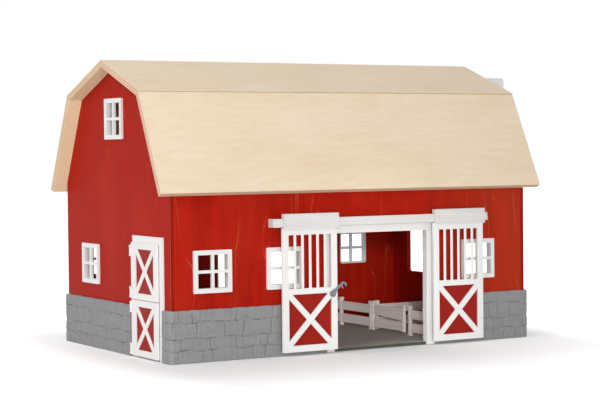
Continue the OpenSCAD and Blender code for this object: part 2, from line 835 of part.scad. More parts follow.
module stall_fence_cross() {
    x0 = stall_x + cross_off;
    color("white") {
        for (x = [x0, inner_l - cap_s / 2]) translate([x, cross_y, 0]) post();
        translate([inner_l, cross_y, 0]) rotate([0, 0, 90]) boards(0, inner_l - x0);
    }
}

module stall_gate() {
    z0 = floor_t + lug_z + lug_gap;
    z1 = floor_t + post_h - lug_z - lug_gap;
    color("white") translate([stall_x, 0, 0]) difference() {
        union() {
            translate([0, gate_axis_y, z0]) cylinder(r = gate_stile_r, h = z1 - z0);
            boards(gate_end_y + post_s / 2, gate_axis_y);
            translate([-post_s / 2, gate_end_y - post_s / 2, z0]) cube([post_s, post_s, z1 - z0 + 2]);
            // The upper board deepens towards the free end, and leaves a slit
            translate([board_t / 2, gate_axis_y, floor_t + board_z[0] + board_h]) rotate([0, -90, 0])
                linear_extrude(board_t)
                    polygon([[board_gap, 0], [slit_end, -gate_l], [board_gap + eps, -gate_l],
                        [board_gap + eps, 0]]);
        }
        translate([0, gate_axis_y, z0 - eps])
            cylinder(r = gate_pin_d / 2 + hinge_gap, h = z1 - z0 + 2 * eps);
    }
}

module gate_pin() {
    color("silver") translate([stall_x, gate_axis_y, floor_t]) cylinder(d = gate_pin_d, h = post_h);
}

floor_panel();
front_wall();
back_wall();
left_gable();
right_gable();
wall_dowels();
skirt_front_left();
skirt_front_right();
skirt_back_left();
skirt_back_right();
roof_lower_front();
roof_lower_back();
roof_upper_front();
roof_upper_back();
ridge_batten();
knee_batten_front();
knee_batten_back();
window_front_1();
window_front_2();
window_front_3();
window_back_1();
window_back_2();
window_back_3();
window_gable();
window_attic();
doorway_frame_front();
doorway_frame_back();
slide_rail();
rail_brackets();
left_door_frame();
left_door_panel();
left_door_hanger();
latch_pivot_pin();
latch_hook();
right_door_frame();
right_door_panel();
right_door_hanger();
catch_peg();
stable_door_frame();
stable_hinge_pins();
upper_leaf();
upper_leaf_panel();
lower_leaf();
lower_leaf_panel();
hoist_arm();
hoist_axle();
hoist_pulley();
stall_fence_rear();
stall_fence_front();
stall_fence_cross();
stall_gate();
gate_pin();
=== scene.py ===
"""Looks of a toy barn with opening doors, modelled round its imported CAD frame."""

import json
import math

import bpy
import numpy as np
from mathutils import Matrix, Vector


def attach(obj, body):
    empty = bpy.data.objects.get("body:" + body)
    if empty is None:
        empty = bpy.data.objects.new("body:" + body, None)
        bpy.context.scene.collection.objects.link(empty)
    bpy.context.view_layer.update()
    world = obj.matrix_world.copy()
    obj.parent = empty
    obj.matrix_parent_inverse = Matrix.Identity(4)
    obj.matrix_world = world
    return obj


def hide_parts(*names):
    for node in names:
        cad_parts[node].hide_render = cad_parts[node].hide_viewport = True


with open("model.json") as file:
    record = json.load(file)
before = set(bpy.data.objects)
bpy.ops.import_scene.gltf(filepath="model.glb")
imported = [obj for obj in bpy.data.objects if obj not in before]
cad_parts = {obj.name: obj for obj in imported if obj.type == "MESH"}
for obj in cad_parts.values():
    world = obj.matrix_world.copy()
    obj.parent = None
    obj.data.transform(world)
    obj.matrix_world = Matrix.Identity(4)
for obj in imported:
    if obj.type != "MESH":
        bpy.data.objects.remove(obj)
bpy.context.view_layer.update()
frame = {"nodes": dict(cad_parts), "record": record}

bl_info = {
    "name": "Toy barn with opening doors",
    "version": (1, 0, 0),
    "blender": (4, 5, 0),
    "location": "3D View > Sidebar > Toy barn",
    "description": "Models the panels, mouldings and doors of a toy barn on its CAD frame",
    "category": "Add Mesh",
}

MM = 0.001
BODY_OF = {
    node: body
    for body, nodes in frame["record"]["behaviour"]["bodies"].items()
    for node in nodes
}


def linear(code):
    """Turns an sRGB hex colour to linear red, green and blue."""
    parts = [int(code[i:i + 2], 16) / 255 for i in (1, 3, 5)]
    return tuple(c / 12.92 if c <= 0.04045 else ((c + 0.055) / 1.055) ** 2.4 for c in parts)


def colour(name, code, about):
    """A colour setting of the panel, given as an sRGB hex code."""
    return bpy.props.FloatVectorProperty(
        name=name, description=about, subtype="COLOR", size=3, min=0, max=1, default=linear(code)
    )


def length(name, value_mm, about, low_mm=0.0, high_mm=100.0):
    """A length setting of the panel, given in millimetres."""
    return bpy.props.FloatProperty(
        name=name, description=about, subtype="DISTANCE", unit="LENGTH",
        default=value_mm * MM, min=low_mm * MM, max=high_mm * MM,
    )


class BarnColours(bpy.types.PropertyGroup):
    """Colours of the barn's finishes."""

    stain: colour("Red stain", "#B21B0A", "Stain on the wall panels")
    stain_deep: colour("Deep stain", "#921408", "Stain where the veneer takes up more of it")
    stain_pale: colour("Pale stain", "#BE3220", "Stain along the paler fibres")
    vein: colour("Vein", "#C6683C", "Hard veins that take up little stain")
    # Painted shadow: the dark line along a gable's upright edge.
    seam: colour("Seam", "#2E0C08", "Shadow in the seam between two panels")
    birch: colour("Birch", "#EBD9BF", "Birch face veneer")
    birch_warm: colour("Warm birch", "#DFC5A4", "Figure in the birch veneer")
    birch_inside: colour("Birch inside", "#EFDDB4", "Unoiled inner veneer of the roof")
    birch_core: colour("Birch end grain", "#C08F66", "Cross plies seen at an edge")
    white: colour("White plastic", "#EDECEA", "Frames and doors")
    # Painted shade: the frames' white made greyer for the rail and hangers.
    rail_shaded_white: colour("Rail white", "#E0DEDB", "Rail and hangers")
    panel_red: colour("Red panel", "#9B2015", "Panels behind the crosses")
    stone: colour("Stone grey", "#8F8F91", "Stone skirt")
    stone_joint: colour("Stone joint", "#6C6C6E", "Joints between the stones")
    # Painted light: the frames' white warmed as a red bounce light inside the barn.
    fence_bounce_warmed_white: colour("Fence white", "#F4E8E2", "Fence, slightly warmer than the frames")
    floor: colour("Floor grey", "#A9A7A1", "Painted floor board")
    # Painted shade: the dark colour of the floor board's upright edges.
    floor_edge_shade: colour("Floor edge", "#4A4D43", "Raw sawn edge of the floor board")
    latch: colour("Latch grey", "#7F8387", "Latch hook and pulley")
    steel: colour("Steel", "#B9BABC", "Pins and axles")
    pine: colour("Pine", "#DDBB88", "Glued battens and dowels")


class BarnSizes(bpy.types.PropertyGroup):
    """Sizes that the CAD model leaves to the finish."""

    board_edge: length("Board edge", 0.35, "Rounding of the sanded board edges", 0.1, 1)
    moulded_edge: length("Moulded edge", 0.6, "Rounding of the moulded plastic edges", 0.1, 1.5)
    joint_depth: length("Joint depth", 1.5, "Depth of the joints between the stones", 0.3, 2)
    joint_width: length("Joint width", 2.4, "Width of the joints between the stones", 1, 5)
    stone_step: length("Stone step", 0.9, "Size of the faces of the stone relief", 0.5, 3)
    stone_rise: length("Stone rise", 0.7, "How far one stone stands out more than another", 0, 1)


def pick(piece):
    """Makes one object the only selected one and the active one."""
    if bpy.context.mode != "OBJECT":
        bpy.ops.object.mode_set(mode="OBJECT")
    bpy.ops.object.select_all(action="DESELECT")
    piece.select_set(True)
    bpy.context.view_layer.objects.active = piece


def corners(piece):
    """The mesh's corner positions as an array."""
    co = np.empty(len(piece.data.vertices) * 3)
    piece.data.vertices.foreach_get("co", co)
    return co.reshape(-1, 3)


def set_corners(piece, co):
    """Writes corner positions back to the mesh."""
    piece.data.vertices.foreach_set("co", np.ascontiguousarray(co).ravel())
    piece.data.update()


def copy_of(node, name):
    """A new piece with a CAD node's shape, its loose triangles merged into whole faces."""
    piece = bpy.data.objects.new(name, frame["nodes"][node].data.copy())
    piece.data.name = name
    bpy.context.scene.collection.objects.link(piece)
    pick(piece)
    bpy.ops.mesh.customdata_custom_splitnormals_clear()
    bpy.ops.object.mode_set(mode="EDIT")
    bpy.ops.mesh.select_all(action="SELECT")
    bpy.ops.mesh.remove_doubles(threshold=1e-6)
    bpy.ops.mesh.dissolve_limited(angle_limit=math.radians(0.4))
    bpy.ops.object.mode_set(mode="OBJECT")
    return piece


def modify(piece, kind, **settings):
    """Adds a modifier with its settings and applies it."""
    pick(piece)
    modifier = piece.modifiers.new(kind.title(), kind)
    for key, value in settings.items():
        setattr(modifier, key, value)
    bpy.ops.object.modifier_apply(modifier=modifier.name)


def soften(piece, width, segments=2, angle=35):
    """Rounds the sharp edges of a piece and shades them smooth."""
    modify(
        piece, "BEVEL", width=width, segments=segments, limit_method="ANGLE",
        angle_limit=math.radians(angle), use_clamp_overlap=True,
    )
    bpy.ops.object.shade_smooth_by_angle(angle=math.radians(40))
    modify(piece, "WEIGHTED_NORMAL", keep_sharp=True)


def finish_piece(piece, node, material):
    """Gives a piece its material and body, and hides the CAD node that it stands for."""
    piece.data.materials.clear()
    piece.data.materials.append(material)
    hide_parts(node)
    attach(piece, BODY_OF[node])


def model(node, name, edge, material):
    """Models a piece on its CAD node, with its sharp edges rounded, and finishes it."""
    piece = copy_of(node, name)
    soften(piece, edge)
    finish_piece(piece, node, material)


def coat(node, material):
    """Gives a CAD node that keeps its own mesh its material."""
    data = frame["nodes"][node].data
    data.materials.clear()
    data.materials.append(material)


def connect(tree, node, inputs):
    """Sets a node's inputs, given by socket or in order. A value that is a socket is linked, and a
    node stands for the first of its outputs that is in use."""
    for key, value in inputs.items() if isinstance(inputs, dict) else enumerate(inputs):
        if isinstance(value, bpy.types.Node):
            value = next(output for output in value.outputs if output.enabled)
        if isinstance(value, bpy.types.NodeSocket):
            tree.links.new(value, node.inputs[key])
        else:
            node.inputs[key].default_value = value


def add(tree, kind, inputs=(), **settings):
    """Adds a node with its settings and its inputs, as connect takes them."""
    node = tree.nodes.new("ShaderNode" + kind)
    for key, value in settings.items():
        setattr(node, key, value)
    connect(tree, node, inputs)
    return node


def new_material(name, **sockets):
    """A material whose shader has these constants. Returns it with its tree and shader."""
    material = bpy.data.materials.new(name)
    material.use_nodes = True
    tree = material.node_tree
    shader = tree.nodes["Principled BSDF"]
    for key, value in sockets.items():
        shader.inputs[key.replace("_", " ")].default_value = value
    return material, tree, shader


def rgba(values):
    """A colour setting with full alpha."""
    return (*values, 1.0)


def layered(tree, base, *layers):
    """Lays colours over a base, each as far as its mask says."""
    for mask, shade in layers:
        base = add(tree, "Mix", {0: mask, 6: base, 7: rgba(shade)}, data_type="RGBA")
    return base


def per_mm(x, y, z):
    """Mapping scale for a pattern whose cells are x by y by z millimetres."""
    return (1 / (x * MM), 1 / (y * MM), 1 / (z * MM))


def edge_plies(tree, out, inner, outer, plies=5, edge_turn=0.6):
    """Masks of a panel's cut edges: the edge, every second ply there, and the innermost one.
    out points out through the panel, whose faces lie inner and outer mm along it."""
    spot = add(tree, "TexCoord")
    deep = add(tree, "VectorMath", (spot.outputs["Object"], out), operation="DOT_PRODUCT")
    facing = add(tree, "VectorMath", (spot.outputs["Normal"], out), operation="DOT_PRODUCT")
    turned = add(tree, "Math", (facing,), operation="ABSOLUTE")
    edge = add(tree, "Math", (turned, edge_turn), operation="LESS_THAN")
    layer = add(tree, "MapRange", {
        "Value": deep, "From Min": inner * MM, "From Max": outer * MM,
        "To Min": 0.0, "To Max": plies})
    whole = add(tree, "Math", (layer,), operation="FLOOR")
    odd = add(tree, "Math", (whole, 2.0), operation="MODULO")
    first = add(tree, "Math", (layer, 1.0), operation="LESS_THAN")
    return [edge] + [add(tree, "Math", (edge, mask), operation="MULTIPLY") for mask in (odd, first)]


# A gable's upright corner is rubbed to bare wood beyond corner_start mm from its middle line. Its
# edge has a painted seam shadow, a dark line that starts seam_line mm short of its outer face. Both
# fade in over fade mm.
GABLE_CORNER = {"corner_start": 148.4, "seam_line": 1.3, "fade": 0.4}


def stained_plywood(name, out, inner, outer, seed, soak=0, painted_sheen=0):
    """Red stained plywood: a sliced veneer whose pores and fibres run upright and drink the stain
    unevenly, with a few hard veins left paler, and sanded edges that show the cross plies.
    out points out through the panel, whose faces lie inner and outer mm along it. soak is how much
    more stain it drank, and the last setting how far a painted sheen pales it to the right. A
    gable's edge also gets a painted seam shadow."""
    c = bpy.context.scene.barn_colours
    material, tree, shader = new_material(
        name, IOR=1.5, Roughness=0.5, Specular_IOR_Level=0.05)
    place = add(tree, "TexCoord").outputs["Object"]
    spot = add(tree, "Mapping", {
        "Vector": place, "Location": (seed * 0.37, seed * 0.21, seed * 0.13)})
    fibre, band, blotch, ring, patch = (
        add(tree, "TexNoise", {
            "Vector": add(tree, "Mapping", {"Vector": spot, "Scale": per_mm(wide, wide, tall)}),
            "Scale": 1.0, "Detail": detail, "Roughness": roughness})
        for wide, tall, detail, roughness in (
            (1.3, 34, 4.0, 0.65), (13, 150, 3.0, 0.55), (60, 80, 2.0, 0.5), (36, 250, 2.0, 0.45),
            (45, 55, 1.0, 0.5)))

    # The veins are thin lines at one level of the ring pattern, here and there.
    ring_off = add(tree, "Math", (ring, 0.5), operation="SUBTRACT")
    ring_line = add(tree, "MapRange", {
        "Value": add(tree, "Math", (ring_off,), operation="ABSOLUTE"),
        "From Min": 0.0005, "From Max": 0.006, "To Min": 1.0, "To Max": 0.0},
        interpolation_type="SMOOTHSTEP")
    patch_mask = add(tree, "MapRange", {
        "Value": patch, "From Min": 0.42, "From Max": 0.62, "To Min": 0.0, "To Max": 0.5 - soak})
    vein = add(tree, "Math", (ring_line, patch_mask), operation="MULTIPLY")

    deep = add(tree, "MapRange", {
        "Value": band, "From Min": 0.35, "From Max": 0.68,
        "To Min": soak, "To Max": 0.6 - soak / 3})
    pale = add(tree, "MapRange", {
        "Value": fibre, "From Min": 0.5, "From Max": 0.8, "To Min": 0.0, "To Max": 0.55})
    warm = add(tree, "MapRange", {
        "Value": blotch, "From Min": 0.45, "From Max": 0.75, "To Min": 0.0, "To Max": 0.45})
    across = add(tree, "SeparateXYZ", (place,))
    # Painted sheen: the stain pales towards the right, standing in for a light's reflection.
    painted_sheen_mask = add(tree, "MapRange", {
        "Value": across.outputs["X"], "From Min": 0.08, "From Max": 0.24,
        "To Min": 0.0, "To Max": painted_sheen})
    # paler holds the real veins and the painted sheen together.
    paler = add(tree, "Math", (vein, painted_sheen_mask), operation="ADD")
    edge, odd, first = edge_plies(tree, out, inner, outer)
    dark = add(tree, "Math", (odd, 0.2), operation="MULTIPLY")
    bare = add(tree, "Math", (first, 0.15), operation="MULTIPLY")
    layers = [
        (deep, c.stain_deep), (pale, c.stain_pale), (warm, c.stain_pale), (paler, c.vein),
        (dark, c.stain_deep), (bare, c.vein)]
    if out[0]:
        reach = [
            add(tree, "Math", (across.outputs[axis],), operation="ABSOLUTE") for axis in "XY"]
        face = add(tree, "Math", (1.0, edge), operation="SUBTRACT")
        for value, start, share, side, shade in (
            (reach[1], GABLE_CORNER["corner_start"], 0.55, face, c.vein),
            # Painted shadow: a dark seam line along the gable's edge, near its outer face.
            (reach[0], outer - GABLE_CORNER["seam_line"], 0.85, edge, c.seam),
        ):
            near = add(tree, "MapRange", {
                "Value": value, "From Min": start * MM,
                "From Max": (start + GABLE_CORNER["fade"]) * MM, "To Min": 0.0, "To Max": share})
            layers.append((add(tree, "Math", (near, side), operation="MULTIPLY"), shade))
    connect(tree, shader, {
        "Base Color": layered(tree, rgba(c.stain), *layers),
        "Roughness": add(tree, "MapRange", {
            "Value": fibre, "From Min": 0.3, "From Max": 0.8, "To Min": 0.42, "To Max": 0.6}),
        "Normal": add(tree, "Bump", {"Strength": 0.35, "Distance": 0.06 * MM, "Height": fibre})})
    return material


def birch_plywood(name, along, out, inner, outer, seed):
    """Oiled birch plywood: a rotary-cut face veneer with a soft figure and short fine pores that
    run along the roof, over plies 1.6 mm thick that alternate light side grain and brown end grain.
    along runs up the slope and out through the panel, whose faces lie inner and outer mm out."""
    c = bpy.context.scene.barn_colours
    material, tree, shader = new_material(
        name, IOR=1.5, Roughness=0.5, Specular_IOR_Level=0.15)
    place = add(tree, "TexCoord").outputs["Object"]
    up = add(tree, "VectorMath", (place, along), operation="DOT_PRODUCT")
    deep = add(tree, "VectorMath", (place, out), operation="DOT_PRODUCT")
    across = add(tree, "SeparateXYZ", (place,)).outputs["X"]
    flat = add(tree, "CombineXYZ", (across, up, deep))
    spot = add(tree, "Mapping", {"Vector": flat, "Location": (seed * 0.61, seed * 0.23, 0)})
    pore, figure, cloud = (
        add(tree, "TexNoise", {
            "Vector": add(tree, "Mapping", {"Vector": spot, "Scale": per_mm(long, wide, wide)}),
            "Scale": 1.0, "Detail": detail, "Roughness": roughness, "Distortion": bend})
        for long, wide, detail, roughness, bend in (
            (9, 0.8, 3.0, 0.6, 0.0), (170, 30, 2.5, 0.5, 0.35), (120, 60, 2.0, 0.5, 0.0)))
    rings = add(tree, "Math", (
        add(tree, "Math", (figure, 54.0), operation="MULTIPLY"),), operation="SINE")
    line = add(tree, "MapRange", {
        "Value": rings, "From Min": -1.0, "From Max": 1.0, "To Min": 0.0, "To Max": 0.25})
    haze = add(tree, "MapRange", {
        "Value": cloud, "From Min": 0.4, "From Max": 0.75, "To Min": 0.0, "To Max": 0.4})
    flecks = add(tree, "MapRange", {
        "Value": pore, "From Min": 0.56, "From Max": 0.8, "To Min": 0.0, "To Max": 0.35})
    underside = add(tree, "MapRange", {
        "Value": deep, "From Min": (inner + 0.3) * MM, "From Max": (inner + 0.2) * MM,
        "To Min": 0.0, "To Max": 0.8})
    edge, odd, _ = edge_plies(tree, out, inner, outer)
    brown = add(tree, "Math", (
        add(tree, "Math", (odd, 0.6), operation="MULTIPLY"),
        add(tree, "Math", (edge, 0.15), operation="MULTIPLY")), operation="ADD")
    connect(tree, shader, {
        "Base Color": layered(
            tree, rgba(c.birch), (haze, c.birch_warm), (line, c.birch_warm),
            (flecks, c.birch_core), (underside, c.birch_inside), (brown, c.birch_core)),
        "Normal": add(tree, "Bump", {"Strength": 0.25, "Distance": 0.05 * MM, "Height": pore})})
    return material


def moulded_plastic(name, base, roughness, fleck=0.03, lines=0.0, shine=0.25):
    """Moulded ABS: an even colour with a faint flow mottle and the fine spark texture of the mould,
    which breaks up its soft gloss. fleck is how dark the mottle gets, and lines how dark the fine
    level lines are that were cut in a board's mould."""
    material, tree, shader = new_material(
        name, IOR=1.54, Roughness=roughness, Specular_IOR_Level=shine)
    spot = add(tree, "TexCoord").outputs["Object"]
    flow, spark, cut = (
        add(tree, "TexNoise", {
            "Vector": add(tree, "Mapping", {"Vector": spot, "Scale": per_mm(*cell)}),
            "Scale": 1.0, "Detail": 2.0})
        for cell in ((18, 18, 18), (0.5, 0.5, 0.5), (70, 70, 1.5)))
    mottle = add(tree, "MapRange", {
        "Value": flow, "From Min": 0.3, "From Max": 0.7, "To Min": 1 - fleck, "To Max": 1.0})
    lined = add(tree, "MapRange", {
        "Value": cut, "From Min": 0.36, "From Max": 0.56, "To Min": 1 - lines, "To Max": 1.0})
    level = add(tree, "Math", (mottle, lined), operation="MULTIPLY")
    connect(tree, shader, {
        "Base Color": add(tree, "VectorMath", {0: base[:], "Scale": level}, operation="SCALE"),
        "Roughness": add(tree, "MapRange", {
            "Value": spark, "From Min": 0.3, "From Max": 0.7,
            "To Min": roughness - 0.05, "To Max": roughness + 0.07}),
        "Normal": add(tree, "Bump", {"Strength": 0.2, "Distance": 0.03 * MM, "Height": spark})})
    return material


def stone_plastic(name):
    """Matt grey moulded plastic with a stone relief: dull, slightly uneven, with a painted
    highlight pale round each stone and darker in the joints, where the relief's joint attribute is
    high."""
    c = bpy.context.scene.barn_colours
    material, tree, shader = new_material(
        name, IOR=1.54, Roughness=0.62, Specular_IOR_Level=0.25)
    spot = add(tree, "TexCoord").outputs["Object"]
    grit, cloud = (
        add(tree, "TexNoise", {
            "Vector": add(tree, "Mapping", {"Vector": spot, "Scale": per_mm(*cell)}),
            "Scale": 1.0, "Detail": detail, "Roughness": roughness})
        for cell, detail, roughness in (((1.6, 1.6, 1.6), 4.0, 0.6), ((14, 14, 9), 2.0, 0.5)))
    shade = add(tree, "MapRange", {
        "Value": cloud, "From Min": 0.3, "From Max": 0.7, "To Min": 0.93, "To Max": 1.04})
    joint = add(tree, "Attribute", attribute_name="joint", attribute_type="GEOMETRY").outputs["Fac"]
    inward = add(tree, "Math", (1.0, joint), operation="SUBTRACT")
    # Painted highlight: the joints' flanks, where rim is high, are lightened as if their edges
    # caught the light.
    rim = add(tree, "Math", (joint, inward), operation="MULTIPLY")
    painted_rim_highlight = add(tree, "Math", (rim, 0.55), operation="MULTIPLY")
    bright = add(tree, "Math", (shade, painted_rim_highlight), operation="ADD")
    face = add(tree, "VectorMath", {0: c.stone[:], "Scale": bright}, operation="SCALE")
    connect(tree, shader, {
        "Base Color": layered(tree, face, (joint, c.stone_joint)),
        "Normal": add(tree, "Bump", {"Strength": 0.5, "Distance": 0.12 * MM, "Height": grit})})
    return material


def painted_board(name):
    """Grey painted board: a flat rolled paint with a faint orange peel, dulled and slightly
    scuffed, on a board whose upright edges are darkened as painted shade."""
    c = bpy.context.scene.barn_colours
    material, tree, shader = new_material(
        name, IOR=1.5, Roughness=0.55, Specular_IOR_Level=0.25)
    spot = add(tree, "TexCoord")
    peel, scuff = (
        add(tree, "TexNoise", {
            "Vector": add(tree, "Mapping", {
                "Vector": spot.outputs["Object"], "Scale": per_mm(*cell)}),
            "Scale": 1.0, "Detail": detail})
        for cell, detail in (((1.5, 1.5, 1.5), 2.0), ((40, 25, 25), 4.0)))
    shade = add(tree, "MapRange", {
        "Value": scuff, "From Min": 0.3, "From Max": 0.7, "To Min": 0.92, "To Max": 1.05})
    tint = add(tree, "VectorMath", {0: c.floor[:], "Scale": shade}, operation="SCALE")
    # Painted shade: the board's upright faces take the dark edge colour.
    upward = add(tree, "SeparateXYZ", (spot.outputs["Normal"],)).outputs["Z"]
    level = add(tree, "Math", (upward,), operation="ABSOLUTE")
    sawn = add(tree, "Math", (level, 0.5), operation="LESS_THAN")
    connect(tree, shader, {
        "Base Color": layered(tree, tint, (sawn, c.floor_edge_shade)),
        "Normal": add(tree, "Bump", {"Strength": 0.3, "Distance": 0.05 * MM, "Height": peel})})
    return material


def sawn_pine(name, axis):
    """Planed pine: straight growth rings a few millimetres apart along the batten, pale early wood
    and warm late wood."""
    c = bpy.context.scene.barn_colours
    material, tree, shader = new_material(name, IOR=1.5, Roughness=0.6)
    spot = add(tree, "TexCoord").outputs["Object"]
    run = per_mm(*[90 if a == axis else 2.4 for a in "XYZ"])
    ring = add(tree, "TexNoise", {
        "Vector": add(tree, "Mapping", {"Vector": spot, "Scale": run}),
        "Scale": 1.0, "Detail": 3.0})
    late = add(tree, "MapRange", {
        "Value": ring, "From Min": 0.45, "From Max": 0.7, "To Min": 0.0, "To Max": 0.7})
    connect(tree, shader, {
        "Base Color": layered(tree, rgba(c.pine), (late, c.birch_core)),
        "Normal": add(tree, "Bump", {"Strength": 0.3, "Distance": 0.05 * MM, "Height": ring})})
    return material


def drawn_steel(name):
    """Bright drawn steel wire: a metal with fine lines left by the die, which spread its
    highlight."""
    c = bpy.context.scene.barn_colours
    material, tree, shader = new_material(name, Metallic=1.0, Roughness=0.3)
    spot = add(tree, "TexCoord").outputs["Object"]
    lines = add(tree, "TexNoise", {
        "Vector": add(tree, "Mapping", {"Vector": spot, "Scale": per_mm(0.3, 0.3, 0.3)}),
        "Scale": 1.0, "Detail": 2.0})
    connect(tree, shader, {
        "Base Color": rgba(c.steel),
        "Roughness": add(tree, "MapRange", {
            "Value": lines, "From Min": 0.3, "From Max": 0.7, "To Min": 0.24, "To Max": 0.4})})
    return material


MATERIALS = {}


def material(name, maker, *settings, **more):
    """The material of that name, made once."""
    if name not in MATERIALS:
        MATERIALS[name] = maker(name, *settings, **more)
    return MATERIALS[name]


def white_plastic():
    """The white moulded ABS of the frames and doors."""
    return material(
        "moulded_white_abs", moulded_plastic, bpy.context.scene.barn_colours.white, 0.38)


def rail_plastic():
    """The white moulded ABS of the rail and the hangers, slightly duller and in a greyer white that
    is painted shade, with faint level lines.
    """
    return material(
        "moulded_white_abs_rail", moulded_plastic, bpy.context.scene.barn_colours.rail_shaded_white, 0.45,
        lines=0.07)


def lined_plastic():
    """The white moulded ABS of the fence, warmed as painted red bounce light, with fine level lines
    like those of sawn boards.
    """
    return material(
        "moulded_white_abs_lined", moulded_plastic, bpy.context.scene.barn_colours.fence_bounce_warmed_white,
        0.42, lines=0.12)


def red_plastic():
    """The red moulded ABS of the panels behind the crosses, which is duller than the white."""
    return material(
        "moulded_red_abs", moulded_plastic, bpy.context.scene.barn_colours.panel_red, 0.5,
        fleck=0.12, shine=0.1)


def grey_plastic():
    """The grey moulded ABS of the latch and the pulley."""
    return material(
        "moulded_latch_grey_abs", moulded_plastic, bpy.context.scene.barn_colours.latch, 0.35)


def background_rays(tree):
    """1 for the rays that show the white background: the camera's, and those that a piece mirrors
    or lets through."""
    path = add(tree, "LightPath")
    bounced = add(tree, "Math", (
        path.outputs["Is Glossy Ray"], path.outputs["Is Transmission Ray"]), operation="MAXIMUM")
    return add(tree, "Math", (path.outputs["Is Camera Ray"], bounced), operation="MAXIMUM")


def aim(light, target):
    """Turns a light to its target."""
    way = Vector(target) - light.location
    light.rotation_euler = way.to_track_quat("-Z", "Y").to_euler()


